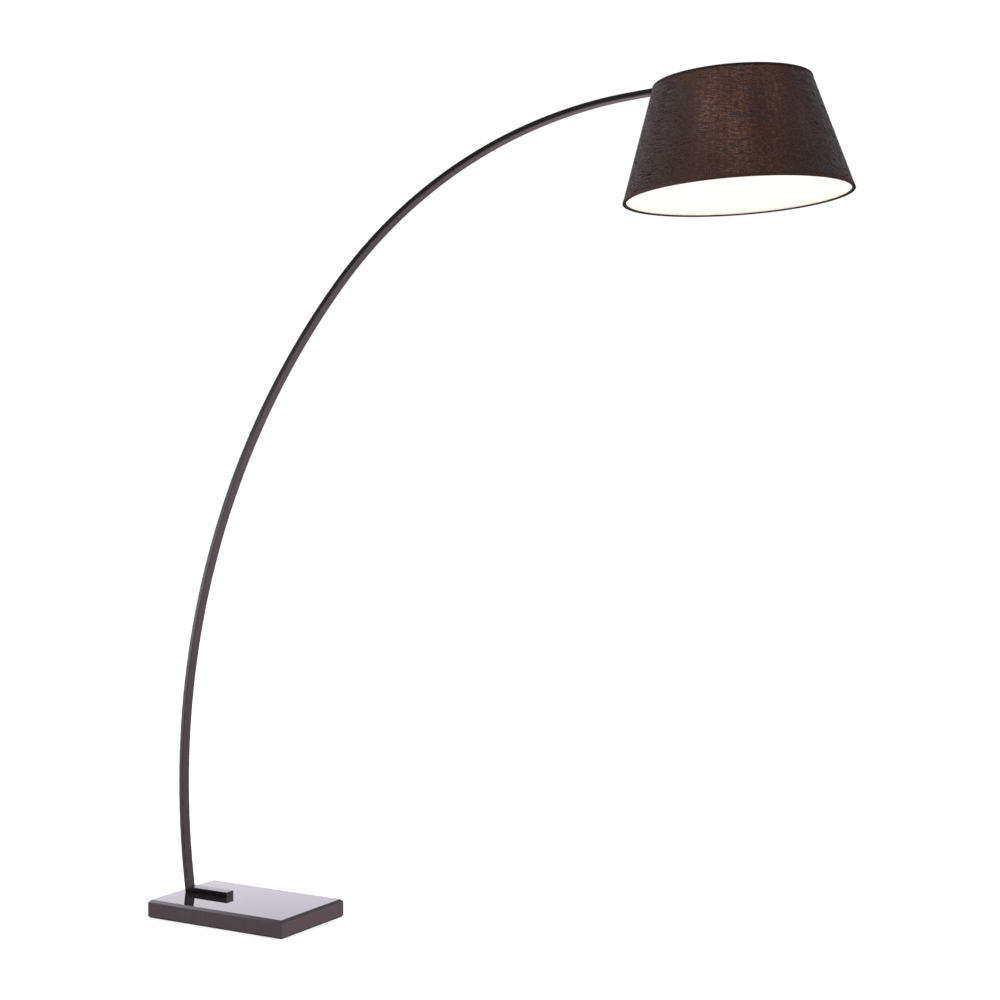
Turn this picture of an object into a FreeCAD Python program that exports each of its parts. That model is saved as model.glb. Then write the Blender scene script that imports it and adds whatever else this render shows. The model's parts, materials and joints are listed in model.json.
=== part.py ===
import FreeCAD, Part
import math
import os
import re
import Sketcher

# Arc floor lamp: a polished stone slab, a foot bar bolted to it, a bent rectangular steel
# tube in three sleeved sections, and a tapered drum shade on an E27 lampholder.
# Millimetres, +Z up. The origin is the centre of the base's underside. The arc lies in the
# XZ plane and reaches towards +X. "Drop" means the distance below the arm's centre line,
# measured along the lamp's axis, which is square to the arm's straight end.

Vector = FreeCAD.Vector
Rotation = FreeCAD.Rotation
Placement = FreeCAD.Placement

SIZES = [
    # base
    ("base_long", 425, "slab length along X"),
    ("base_wide", 260, "slab width along Y"),
    ("slab_thick", 42, "slab thickness"),
    ("slab_chamfer", 6, "chamfer round the slab's top"),
    ("pad_thick", 3, "rubber pad under the slab"),
    ("pad_inset", 2.5, "pad edge inside the slab's edge"),
    ("bolt_span", 70, "distance between the two foot bolts"),
    ("bolt_radius", 4, "M8 bolt"),
    ("bolt_long", 40, "length under the head"),
    ("head_radius", 6.5, "cap head"),
    ("head_high", 8, "cap head height"),
    ("key_circumradius", 3.46, "6 mm hexagon socket in the cap head"),
    ("key_deep", 4, "hexagon socket depth"),
    ("counterbore_radius", 10, "recess for head and washer"),
    ("counterbore_deep", 11, "recess depth"),
    ("washer_radius", 8, "M8 washer"),
    ("washer_thick", 1.6, "M8 washer"),
    ("access_radius", 12, "hole in the pad under each bolt"),
    ("bolt_play", 0.4, "clearance of the slab's holes"),
    # foot bar and arc
    ("foot_right", -51, "X of the foot bar's free end"),
    ("foot_high", 14, "foot bar height"),
    ("foot_edge", 0.8, "rounding of the foot bar's top edges"),
    ("arc_setback", 182, "arc's centre line behind the origin, at the slab's top"),
    ("tube_depth", 12, "tube size in the plane of the arc"),
    ("tube_width", 28, "tube size across the arc"),
    ("tube_wall", 1.5, "tube wall"),
    ("tube_corner", 1.6, "outer corner radius"),
    ("tube_bore_corner", 0.5, "inner corner radius"),
    ("lean", 8.32, "degrees that the arc leans back at its foot"),
    ("lower_radius", 1895, "centre-line radius of the long bend"),
    ("upper_radius", 1179, "centre-line radius of the tighter bend"),
    ("blend_angle", 42.45, "degrees from vertical where the two bends meet"),
    ("lower_seam", 19.8, "degrees from vertical at the lower joint"),
    ("upper_seam", 52, "degrees from vertical at the upper joint"),
    ("shade_tilt", 3.4, "degrees that the arm's end rises, and the shade leans"),
    ("arm_reach", 238, "straight run from the upper bend to the lamp's axis"),
    ("arm_overhang", 18, "arm past the lamp's axis"),
    ("arm_hole", 5, "radius of the lead's hole under the arm"),
    ("foot_extra", 0.1, "degrees of arc trimmed off flush with the slab"),
    ("foot_fitted", 1, "degrees of arc that the foot bar's end is cut to fit"),
    ("sleeve_long", 90, "joint sleeve length"),
    ("sleeve_play", 0.1, "gap between sleeve and tube"),
    ("sleeve_wall", 1.2, "sleeve wall"),
    ("grub_radius", 2.5, "M5 grub screw"),
    ("grub_long", 3, "grub screw length"),
    ("grub_sunk", 0.2, "grub screw below the tube's face"),
    ("grub_key", 1.44, "2.5 mm hexagon socket, circumradius"),
    ("grub_offset", 24, "grub screw to joint, along the arc"),
    ("screw_play", 0.05, "radial clearance of a screw in its hole"),
    ("cap_plate", 2, "end cap thickness outside the tube"),
    ("cap_plug", 8, "end cap length inside the tube"),
    ("cap_play", 0.2, "gap round the end cap's plug"),
    # cord inlet and lead
    ("inlet_height", 60, "cord inlet above the slab, along the arc"),
    ("inlet_radius", 3.5, "grommet bore"),
    ("inlet_neck_high", 10, "grommet neck, along the arc"),
    ("inlet_neck_wide", 12.4, "grommet neck, across the arc, so that it can't turn"),
    ("inlet_neck_corner", 3, "grommet neck's corner radius"),
    ("inlet_flange", 8.2, "grommet outer flange radius"),
    ("inlet_inner_flange", 7.2, "grommet inner flange radius"),
    ("inlet_lip", 1.5, "grommet flange thickness"),
    ("lead_radius", 2, "two-core lead inside the tube"),
    ("lead_start", 12, "lead begins above the inlet, along the arc"),
    ("lead_bend", 10, "lead's last bend"),
    # lampholder, as drops below the arm's centre line
    ("boss_radius", 12, "steel boss welded under the arm"),
    ("boss_bore", 7.5, "hollow of the boss"),
    ("boss_floor", 5, "threaded floor of the boss"),
    ("boss_end", 20, "drop to the boss's lower face"),
    ("nipple_radius", 5, "M10 x 1 nipple"),
    ("nipple_bore", 3.6, "lead's way through the nipple"),
    ("nipple_top", 15, "drop to the nipple's upper end"),
    ("nipple_end", 36, "drop to the nipple's lower end"),
    ("thread_play", 0.05, "radial clearance of the M10 holes"),
    ("lock_washer_radius", 9, "toothed washer"),
    ("lock_washer_end", 20.8, "drop to the washer's lower face"),
    ("lock_nut_across", 8.08, "14 mm hexagon nut, circumradius"),
    ("lock_nut_end", 24, "drop to the nut's lower face"),
    ("dome_radius", 20, "lampholder dome and body"),
    ("dome_wall", 2, "dome wall"),
    ("dome_neck", 8, "neck radius round the M10 thread"),
    ("dome_neck_end", 31, "drop to the end of the dome's neck"),
    ("dome_end", 47, "drop to the dome's open edge"),
    ("body_wall", 2.4, "lampholder body wall"),
    ("shoulder_start", 64, "drop to the flange's upper face"),
    ("shoulder_end", 66.5, "drop to the flange's lower face"),
    ("shoulder_radius", 24, "flange that the shade's fitter sits under"),
    ("skirt_radius", 19.6, "threaded skirt"),
    ("socket_end", 92, "drop to the skirt's open end"),
    ("core_radius", 17.3, "ceramic core"),
    ("core_start", 49, "drop to the core's upper face"),
    ("core_end", 64, "drop to the core's lower face"),
    ("shell_radius", 14.8, "E27 screw shell"),
    ("shell_bore", 13.7, "E27 screw shell, inside"),
    ("shell_end", 90, "drop to the shell's open end"),
    ("contact_radius", 4, "centre contact"),
    ("contact_thick", 1.2, "centre contact"),
    ("spindle_radius", 1.5, "switch spindle"),
    ("spindle_hole", 1.8, "its hole in the body and the core"),
    ("spindle_drop", 55.5, "drop to the spindle's centre line"),
    ("spindle_start", 9, "distance from the lamp's axis"),
    ("spindle_clear", 1, "clear space beyond the spindle's inner end"),
    ("knob_radius", 5.5, "switch knob"),
    ("knob_start", 21.5, "distance from the lamp's axis"),
    ("knob_end", 34, "distance from the lamp's axis"),
    ("knob_recess", 7, "how far the spindle enters the knob"),
    ("knob_taper", 1.5, "how much thinner the knob is at its inner end"),
    ("knob_taper_long", 2, "length of that taper"),
    ("knob_bevel", 1, "bevel of the knob's outer end"),
    # shade
    ("rim_gap", 3, "clear height between the arm's underside and the shade"),
    ("shade_height", 248, "fabric height along the lamp's axis"),
    ("shade_bottom", 249.6, "fabric outer radius at the bottom"),
    ("shade_top", 171.7, "fabric outer radius at the top"),
    ("fabric_thick", 0.9, "fabric shell"),
    ("liner_gap", 0.1, "glue line"),
    ("liner_thick", 0.5, "white styrene liner"),
    ("trim_thick", 0.6, "bound edge"),
    ("trim_high", 5, "bound edge, up the side"),
    ("trim_turned", 2, "bound edge, up inside the bottom ring wire"),
    ("trim_wide", 7, "bound edge, across the rim"),
    ("wire_radius", 2, "ring wires and fitter arms"),
    ("wire_inset", 4, "ring wire's centre inside the fabric's outer face"),
    ("wire_lift", 2.2, "ring wire's centre from the shade's edge"),
    ("fitter_bore", 21, "fitter ring"),
    ("fitter_radius", 28, "fitter ring"),
    ("fitter_start", 66.8, "drop to the fitter ring's upper face"),
    ("fitter_thick", 1.6, "fitter ring"),
    ("fitter_arm_start", 26, "arm's inner end from the lamp's axis"),
    ("fitter_arm_knee", 48, "where the arm turns up"),
    ("fitter_arm_bend", 16, "bend radius of the arm"),
    ("ring_bore", 19.9, "shade ring"),
    ("ring_radius", 24.5, "shade ring"),
    ("ring_start", 68.7, "drop to the shade ring's upper face"),
    ("ring_high", 8, "shade ring"),
    ("ring_notch", 1.5, "radius of the finger notches"),
    # bulb
    ("bulb_start", 65.6, "drop of the contact button"),
    ("button_radius", 4.5, "contact button"),
    ("button_high", 1.4, "contact button"),
    ("insulator_radius", 9.5, "insulator's wide end"),
    ("insulator_high", 2.5, "insulator"),
    ("crest_radius", 13.2, "E27 thread crest"),
    ("root_radius", 12.4, "E27 thread root"),
    ("cap_bore", 11.8, "inside of the bulb's cap"),
    ("cap_skin", 1, "cap thickness at its closed end, and its plain rim"),
    ("cap_cone", 2, "height of the hollow's cone in the cap's closed end"),
    ("thread_pitch", 3.62, "E27 pitch"),
    ("housing_start", 92, "drop to the housing's upper end"),
    ("housing_radius", 14, "housing at the cap"),
    ("housing_wall", 1.5, "housing wall"),
    ("globe_radius", 30, "A60 globe"),
    ("globe_wall", 1, "globe wall"),
    ("globe_drop", 144, "drop of the globe's centre"),
    ("globe_cut", 14, "globe's open edge above its centre"),
]
THREAD_CRESTS = 5
RING_NOTCHES = 24
FITTER_ARMS = 3
EDGE_SLACK = 1
VOLUME_SLACK = 0.01

doc = FreeCAD.newDocument("ArcFloorLamp")
sheet = doc.addObject("Spreadsheet::Sheet", "Sizes")
for row, (alias, size, meaning) in enumerate(SIZES, start=1):
    sheet.set(f"A{row}", meaning)
    sheet.set(f"B{row}", str(size))
    sheet.setAlias(f"B{row}", alias)
doc.recompute()
ALIASES = {alias for alias, _, _ in SIZES}
parts = {}


# --- helpers -------------------------------------------------------------------------------


def on_sheet(expression):
    """The expression with each size written as the cell it names."""
    return re.sub(r"[a-z_]+", lambda m: f"Sizes.{m[0]}" if m[0] in ALIASES else m[0], expression)


def value(expression):
    return float(sheet.evalExpression(expression))


def keep(label, obj):
    """Makes obj the sub-part with this label."""
    obj.Label = label
    parts[label] = obj
    return obj


def primitive(kind, name, place=Placement(), **sizes):
    obj = doc.addObject(f"Part::{kind}", name)
    for size, expression in sizes.items():
        obj.setExpression(size, on_sheet(expression))
    obj.Placement = place
    return obj


def fuse(name, pieces):
    obj = doc.addObject("Part::MultiFuse", name)
    obj.Shapes = pieces
    return obj


def cut(name, base, tools):
    obj = doc.addObject("Part::Cut", name)
    obj.Base = base
    obj.Tool = tools[0] if len(tools) == 1 else fuse(f"{name}_tools", tools)
    return obj


def ring(name, place, radius, bore, high):
    """A flat ring: a cylinder with a cylinder cut out of it."""
    outer = primitive("Cylinder", f"{name}_disc", place, Radius=radius, Height=high)
    inner = primitive("Cylinder", f"{name}_bore", place, Radius=bore, Height=high)
    return cut(f"{name}_ring", outer, [inner])


def new_body(name, place):
    body = doc.addObject("PartDesign::Body", f"{name}_body")
    body.Placement = place
    return body


def new_sketch(body, name):
    """A sketch on the body's own XZ plane."""
    plane = next(f for f in body.Origin.OriginFeatures if f.Role == "XZ_Plane")
    sketch = body.newObject("Sketcher::SketchObject", name)
    sketch.AttachmentSupport = (plane, [""])
    sketch.MapMode = "FlatFace"
    return sketch


def dimension(sketch, name, kind, expression, *points):
    """Adds a named dimension that the sheet drives."""
    index = sketch.addConstraint(Sketcher.Constraint(kind, *points, value(expression)))
    sketch.renameConstraint(index, name)
    sketch.setExpression(f"Constraints.{name}", on_sheet(expression))


def place_point(sketch, line, name, across, up):
    """Fixes the start of a line at (across, up) from the sketch's origin."""
    for kind, axis, expression in (("DistanceX", -2, across), ("DistanceY", -1, up)):
        if expression == "0":
            sketch.addConstraint(Sketcher.Constraint("PointOnObject", line, 1, axis))
        else:
            dimension(sketch, f"{name}_{kind[-1].lower()}", kind, expression, -1, 1, line, 1)


def turned(name, place, corners):
    """A body turned about its own Z axis from the outline through these (radius, height) corners."""
    body = new_body(name, place)
    sketch = new_sketch(body, f"{name}_outline")
    points = [Vector(value(across), value(up), 0) for across, up in corners]
    for start, end in zip(points, points[1:] + points[:1]):
        sketch.addGeometry(Part.LineSegment(start, end), False)
    for line, (across, up) in enumerate(corners):
        sketch.addConstraint(Sketcher.Constraint("Coincident", line, 2, (line + 1) % len(corners), 1))
        place_point(sketch, line, f"corner{line}", across, up)
    turn = body.newObject("PartDesign::Revolution", f"{name}_turn")
    turn.Profile = sketch
    turn.ReferenceAxis = (sketch, ["V_Axis"])
    turn.Angle = 360
    return body


def add_rounded_rectangle(sketch, name, middle, deep, wide, corner):
    """A rounded rectangle, deep across and wide up, centred at (middle, 0)."""
    mid, half_deep, half_wide, radius = value(middle), value(deep) / 2, value(wide) / 2, value(corner)
    first = sketch.GeometryCount
    for side in range(4):
        turn = Rotation(Vector(0, 0, 1), 90 * side)
        reach, half = (half_wide, half_deep) if side % 2 == 0 else (half_deep, half_wide)
        start, end, hub = (
            turn.multVec(Vector(x, y, 0)) + Vector(mid, 0, 0)
            for x, y in ((radius - half, -reach), (half - radius, -reach), (half - radius, radius - reach))
        )
        sketch.addGeometry(Part.LineSegment(start, end), False)
        circle = Part.Circle(hub, Vector(0, 0, 1), radius)
        begin = math.radians(90 * side - 90)
        sketch.addGeometry(Part.ArcOfCircle(circle, begin, begin + math.pi / 2), False)
    for edge in range(8):
        following = first + (edge + 1) % 8
        sketch.addConstraint(Sketcher.Constraint("Tangent", first + edge, 2, following, 1))
    for side, direction in enumerate(("Horizontal", "Vertical", "Horizontal", "Vertical")):
        sketch.addConstraint(Sketcher.Constraint(direction, first + 2 * side))
    for side in range(1, 4):
        sketch.addConstraint(Sketcher.Constraint("Equal", first + 1, first + 1 + 2 * side))
    dimension(sketch, f"{name}_corner", "Radius", corner, first + 1)
    dimension(sketch, f"{name}_right", "DistanceX", f"{middle} + ({deep}) / 2", -1, 1, first + 2, 1)
    dimension(sketch, f"{name}_left", "DistanceX", f"{middle} - ({deep}) / 2", -1, 1, first + 6, 1)
    dimension(sketch, f"{name}_top", "DistanceY", f"({wide}) / 2", -1, 1, first + 4, 1)
    dimension(sketch, f"{name}_bottom", "DistanceY", f"({wide}) / 2", first, 1, -1, 1)


def tube_section(body, name, middle, hollow=True):
    """The tube's cross-section, centred at (middle, 0)."""
    sketch = new_sketch(body, name)
    add_rounded_rectangle(sketch, "outside", middle, "tube_depth", "tube_width", "tube_corner")
    if hollow:
        deep, wide = "tube_depth - 2 * tube_wall", "tube_width - 2 * tube_wall"
        add_rounded_rectangle(sketch, "inside", middle, deep, wide, "tube_bore_corner")
    return sketch


def bend(body, name, sketch, degrees, axis="V_Axis", backwards=False, both_ways=False):
    """Turns a section about the bend's centre, which lies on the given axis."""
    turn = body.newObject("PartDesign::Revolution", name)
    turn.Profile = sketch
    turn.ReferenceAxis = (sketch, [axis])
    turn.setExpression("Angle", on_sheet(degrees))
    turn.Reversed = backwards
    turn.Midplane = both_ways
    return turn


def extrude(body, name, sketch, long, forwards=True):
    """Extends a section along the body's +Y, or -Y."""
    run = body.newObject("PartDesign::Pad", name)
    run.Profile = sketch
    run.setExpression("Length", on_sheet(long))
    run.Reversed = forwards
    return run


# --- where things are ----------------------------------------------------------------------


def outward(angle):
    """From a bend's centre to the arc, where the arc is this many degrees from vertical."""
    return Vector(-math.cos(math.radians(angle)), 0, math.sin(math.radians(angle)))


def along(angle):
    """The arc's direction there, from the foot towards the lamp."""
    return Vector(math.sin(math.radians(angle)), 0, math.cos(math.radians(angle)))


SLAB_TOP = value("pad_thick + slab_thick")
ARM_ANGLE = value("90 - shade_tilt")
LOWER_RADIUS = value("lower_radius")
UPPER_RADIUS = value("upper_radius")
FOOT = Vector(-value("arc_setback"), 0, SLAB_TOP)
LOWER_CENTRE = FOOT - outward(-value("lean")) * LOWER_RADIUS
UPPER_CENTRE = LOWER_CENTRE + outward(value("blend_angle")) * (LOWER_RADIUS - UPPER_RADIUS)
ARM_START = UPPER_CENTRE + outward(ARM_ANGLE) * UPPER_RADIUS
LAMP_POINT = ARM_START + along(ARM_ANGLE) * value("arm_reach")
ARM_END = LAMP_POINT + along(ARM_ANGLE) * value("arm_overhang")


def bend_frame(origin, angle):
    """X out of the bend, Y along the arc, Z across it, at this many degrees from vertical."""
    turn = Rotation(outward(angle), along(angle), Vector(0, 1, 0), "XYZ")
    return Placement(origin, turn)


def through_wall(centre, radius, angle, above_face):
    """Z pointing out of the tube's convex face, at this height above the face."""
    reach = radius + value("tube_depth") / 2 + above_face
    return Placement(centre + outward(angle) * reach, Rotation(Vector(0, 0, 1), outward(angle)))


def on_lamp_axis(drop):
    """Z up the lamp's axis and X along the arm, at this drop."""
    tilt = Rotation(Vector(0, 1, 0), -value("shade_tilt"))
    return Placement(LAMP_POINT - tilt.multVec(Vector(0, 0, value(drop))), tilt)


def about_lamp_axis(place, degrees):
    """The place turned about its own Z axis."""
    return place * Placement(Vector(0, 0, 0), Rotation(Vector(0, 0, 1), degrees))


# --- base ----------------------------------------------------------------------------------


def bolt_places(height):
    """One place for each foot bolt, under the foot bar."""
    middle = (FOOT.x + value("foot_right")) / 2 + value("tube_depth") / 2
    half_span = value("bolt_span") / 2
    return [Placement(Vector(middle + side * half_span, 0, height), Rotation()) for side in (-1, 1)]


def make_base_slab():
    corner = Vector(-value("base_long") / 2, -value("base_wide") / 2, value("pad_thick"))
    block = primitive(
        "Box", "slab_block", Placement(corner, Rotation()),
        Length="base_long", Width="base_wide", Height="slab_thick",
    )
    doc.recompute()
    bevelled = doc.addObject("Part::Chamfer", "slab_bevelled")
    bevelled.Base = block
    size = value("slab_chamfer")
    on_top = [i for i, e in enumerate(block.Shape.Edges, start=1) if e.BoundBox.ZMin > SLAB_TOP - EDGE_SLACK]
    bevelled.Edges = [(edge, size, size) for edge in on_top]
    holes = []
    for side, place in enumerate(bolt_places(value("pad_thick"))):
        holes.append(primitive(
            "Cylinder", f"slab_recess{side}", place, Radius="counterbore_radius", Height="counterbore_deep",
        ))
        holes.append(primitive(
            "Cylinder", f"slab_hole{side}", place, Radius="bolt_radius + bolt_play", Height="slab_thick",
        ))
    keep("base_slab", cut("slab_drilled", bevelled, holes))


def make_base_pad():
    inset = value("pad_inset")
    corner = Vector(inset - value("base_long") / 2, inset - value("base_wide") / 2, 0)
    sheet_piece = primitive(
        "Box", "pad_sheet", Placement(corner, Rotation()),
        Length="base_long - 2 * pad_inset", Width="base_wide - 2 * pad_inset", Height="pad_thick",
    )
    holes = [
        primitive("Cylinder", f"pad_hole{side}", place, Radius="access_radius", Height="pad_thick")
        for side, place in enumerate(bolt_places(0))
    ]
    keep("base_pad", cut("pad_cut", sheet_piece, holes))


def make_base_bolts():
    under_slab = value("pad_thick + counterbore_deep")
    shanks, sockets, washers = [], [], []
    head_bottom = under_slab - value("washer_thick + head_high")
    for side, place in enumerate(bolt_places(head_bottom)):
        head = primitive("Cylinder", f"bolt_head{side}", place, Radius="head_radius", Height="head_high")
        shank = primitive(
            "Cylinder", f"bolt_shank{side}", place, Radius="bolt_radius", Height="head_high + bolt_long",
        )
        key = primitive("Prism", f"bolt_key{side}", place, Circumradius="key_circumradius", Height="key_deep")
        shanks += [head, shank]
        sockets.append(key)
    washer_bore = "bolt_radius + bolt_play"
    for side, place in enumerate(bolt_places(under_slab - value("washer_thick"))):
        washers.append(ring(f"washer{side}", place, "washer_radius", washer_bore, "washer_thick"))
    keep("base_bolts", cut("bolts_with_sockets", fuse("bolt_blanks", shanks), sockets))
    keep("base_washers", fuse("washer_pair", washers))


def make_foot_bar():
    corner = Vector(FOOT.x, -value("tube_width") / 2, SLAB_TOP)
    bar = primitive(
        "Box", "foot_block", Placement(corner, Rotation()),
        Length="foot_right + arc_setback", Width="tube_width", Height="foot_high",
    )
    doc.recompute()
    rounded = doc.addObject("Part::Fillet", "foot_rounded")
    rounded.Base = bar
    size = value("foot_edge")
    top = SLAB_TOP + value("foot_high") - EDGE_SLACK
    right = value("foot_right") - EDGE_SLACK
    boxes = [edge.BoundBox for edge in bar.Shape.Edges]
    on_top = [i for i, box in enumerate(boxes, start=1) if box.ZMin > top and box.XMax > right]
    upright = [i for i, box in enumerate(boxes, start=1) if box.XMin > right and box.ZLength > EDGE_SLACK]
    rounded.Edges = [(edge, size, size) for edge in on_top + upright]
    thread_deep = "counterbore_deep - washer_thick + bolt_long - slab_thick"
    tools = [
        primitive(
            "Cylinder", f"foot_thread{side}", place, Radius="bolt_radius + screw_play", Height=thread_deep,
        )
        for side, place in enumerate(bolt_places(SLAB_TOP))
    ]
    start = -value("lean + foot_extra")
    envelope = new_body("foot_envelope", bend_frame(LOWER_CENTRE, start))
    section = tube_section(envelope, "foot_envelope_section", "lower_radius", hollow=False)
    bend(envelope, "foot_envelope_bend", section, "foot_fitted")
    keep("foot_bar", cut("foot_fitted", rounded, [envelope] + tools))


# --- arc -----------------------------------------------------------------------------------


def grub_places(centre, radius, seam, above_face):
    """The two grub screws of a joint, one each side of the seam, on the convex face."""
    step = math.degrees(value("grub_offset") / radius)
    return [through_wall(centre, radius, seam + side * step, above_face) for side in (-1, 1)]


def grub_holes(name, centre, radius, seam):
    wide, deep = "grub_radius + screw_play", "tube_depth / 2"
    return [
        primitive("Cylinder", f"{name}{side}", place, Radius=wide, Height=deep)
        for side, place in enumerate(grub_places(centre, radius, seam, -value(deep)))
    ]


def inlet_place(above_face):
    angle = math.degrees(value("inlet_height") / LOWER_RADIUS) - value("lean")
    return through_wall(LOWER_CENTRE, LOWER_RADIUS, angle, above_face)


def inlet_block(name, above_face, high, extra="0"):
    """A rounded block that stands in the tube's rear wall at the inlet, from this height above its face."""
    body = new_body(name, inlet_place(above_face) * Placement(Vector(0, 0, 0), Rotation(Vector(1, 0, 0), 90)))
    section = new_sketch(body, f"{name}_section")
    deep, wide = f"inlet_neck_high + {extra}", f"inlet_neck_wide + {extra}"
    add_rounded_rectangle(section, "outline", "0", deep, wide, "inlet_neck_corner")
    extrude(body, f"{name}_block", section, high)
    return body


def make_arc_sections():
    lower_holes = grub_holes("lower_joint_hole", LOWER_CENTRE, LOWER_RADIUS, value("lower_seam"))
    upper_holes = grub_holes("upper_joint_hole", UPPER_CENTRE, UPPER_RADIUS, value("upper_seam"))

    body = new_body("arc_lower", bend_frame(LOWER_CENTRE, -value("lean + foot_extra")))
    section = tube_section(body, "arc_lower_section", "lower_radius")
    bend(body, "arc_lower_bend", section, "lean + foot_extra + lower_seam")
    below = primitive(
        "Box", "below_slab_top",
        Placement(FOOT - Vector(value("tube_width"), value("tube_width"), value("tube_width")), Rotation()),
        Length="2 * tube_width", Width="2 * tube_width", Height="tube_width",
    )
    inlet = inlet_block("inlet_hole", -value("tube_depth") / 2, "tube_depth", "2 * screw_play")
    keep("arc_lower", cut("arc_lower_drilled", body, [below, inlet, lower_holes[0]]))

    body = new_body("arc_middle", bend_frame(LOWER_CENTRE, value("blend_angle")))
    section = tube_section(body, "arc_middle_section", "lower_radius")
    bend(body, "arc_middle_long_bend", section, "blend_angle - lower_seam", backwards=True)
    section = tube_section(body, "arc_middle_blend", "lower_radius")
    hub = value("lower_radius - upper_radius")
    axis_line = section.addGeometry(Part.LineSegment(Vector(hub, -1, 0), Vector(hub, 1, 0)), True)
    section.addConstraint(Sketcher.Constraint("Vertical", axis_line))
    dimension(section, "hub", "DistanceX", "lower_radius - upper_radius", -1, 1, axis_line, 1)
    bend(body, "arc_middle_tight_bend", section, "upper_seam - blend_angle", axis="Axis0")
    keep("arc_middle", cut("arc_middle_drilled", body, [lower_holes[1], upper_holes[0]]))

    body = new_body("arc_upper", bend_frame(UPPER_CENTRE, ARM_ANGLE))
    section = tube_section(body, "arc_upper_section", "upper_radius")
    bend(body, "arc_upper_bend", section, "90 - shade_tilt - upper_seam", backwards=True)
    extrude(body, "arc_upper_arm", section, "arm_reach + arm_overhang")
    lead_hole = primitive(
        "Cylinder", "arm_lead_hole", on_lamp_axis("tube_depth"), Radius="arm_hole", Height="tube_depth",
    )
    keep("arc_upper", cut("arc_upper_drilled", body, [upper_holes[1], lead_hole]))


def make_joint_sleeves():
    grubs = []
    joints = (
        ("sleeve_lower", LOWER_CENTRE, "lower_radius", value("lower_seam")),
        ("sleeve_upper", UPPER_CENTRE, "upper_radius", value("upper_seam")),
    )
    for name, centre, radius, seam in joints:
        body = new_body(name, bend_frame(centre, seam))
        sketch = new_sketch(body, f"{name}_section")
        deep = "tube_depth - 2 * tube_wall - 2 * sleeve_play"
        wide = "tube_width - 2 * tube_wall - 2 * sleeve_play"
        add_rounded_rectangle(sketch, "outside", radius, deep, wide, "tube_corner")
        inside = (f"{deep} - 2 * sleeve_wall", f"{wide} - 2 * sleeve_wall")
        add_rounded_rectangle(sketch, "inside", radius, *inside, "tube_bore_corner")
        bend(body, f"{name}_bend", sketch, f"sleeve_long / {radius} * 180 / pi", both_ways=True)
        holes = grub_holes(f"{name}_hole", centre, value(radius), seam)
        keep(name, cut(f"{name}_tapped", body, holes))
        sunk = -value("grub_sunk + grub_long")
        for side, place in enumerate(grub_places(centre, value(radius), seam, sunk)):
            grub = f"{name}_grub{side}"
            blank = primitive("Cylinder", grub, place, Radius="grub_radius", Height="grub_long")
            half = "grub_long / 2"
            upper_half = place * Placement(Vector(0, 0, value(half)), Rotation())
            key = primitive("Prism", f"{grub}_key", upper_half, Circumradius="grub_key", Height=half)
            grubs.append(cut(f"{grub}_screw", blank, [key]))
    keep("joint_screws", fuse("grub_screws", grubs))


def make_cord_grommet():
    """A rubber grommet with a flange each side of the tube's wall and a neck that can't turn in its hole."""
    outer = turned("grommet_flange", inlet_place(0), [
        ("0", "0"),
        ("inlet_flange", "0"),
        ("inlet_flange", "inlet_lip / 2"),
        ("inlet_flange - inlet_lip / 2", "inlet_lip"),
        ("0", "inlet_lip"),
    ])
    inner_end = -value("tube_wall + screw_play + inlet_lip")
    inner = primitive(
        "Cylinder", "grommet_inner_flange", inlet_place(inner_end),
        Radius="inlet_inner_flange", Height="inlet_lip",
    )
    neck_start = -value("tube_wall + screw_play + inlet_lip / 2")
    neck = inlet_block("grommet_neck", neck_start, "tube_wall + screw_play + inlet_lip")
    bore = primitive(
        "Cylinder", "grommet_bore", inlet_place(inner_end),
        Radius="inlet_radius", Height="tube_wall + screw_play + 2 * inlet_lip",
    )
    keep("cord_grommet", cut("grommet_bored", fuse("grommet_blank", [outer, inner, neck]), [bore]))


def make_arm_end_cap():
    body = new_body("end_cap", bend_frame(ARM_END, ARM_ANGLE))
    plate = new_sketch(body, "end_cap_plate")
    add_rounded_rectangle(plate, "plate", "0", "tube_depth", "tube_width", "tube_corner")
    extrude(body, "end_cap_outside", plate, "cap_plate")
    plug = new_sketch(body, "end_cap_plug")
    inside = [f"{size} - 2 * tube_wall - 2 * cap_play" for size in ("tube_depth", "tube_width")]
    add_rounded_rectangle(plug, "plug", "0", *inside, "tube_bore_corner")
    extrude(body, "end_cap_inside", plug, "cap_plug", forwards=False)
    keep("arm_end_cap", body)


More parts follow.
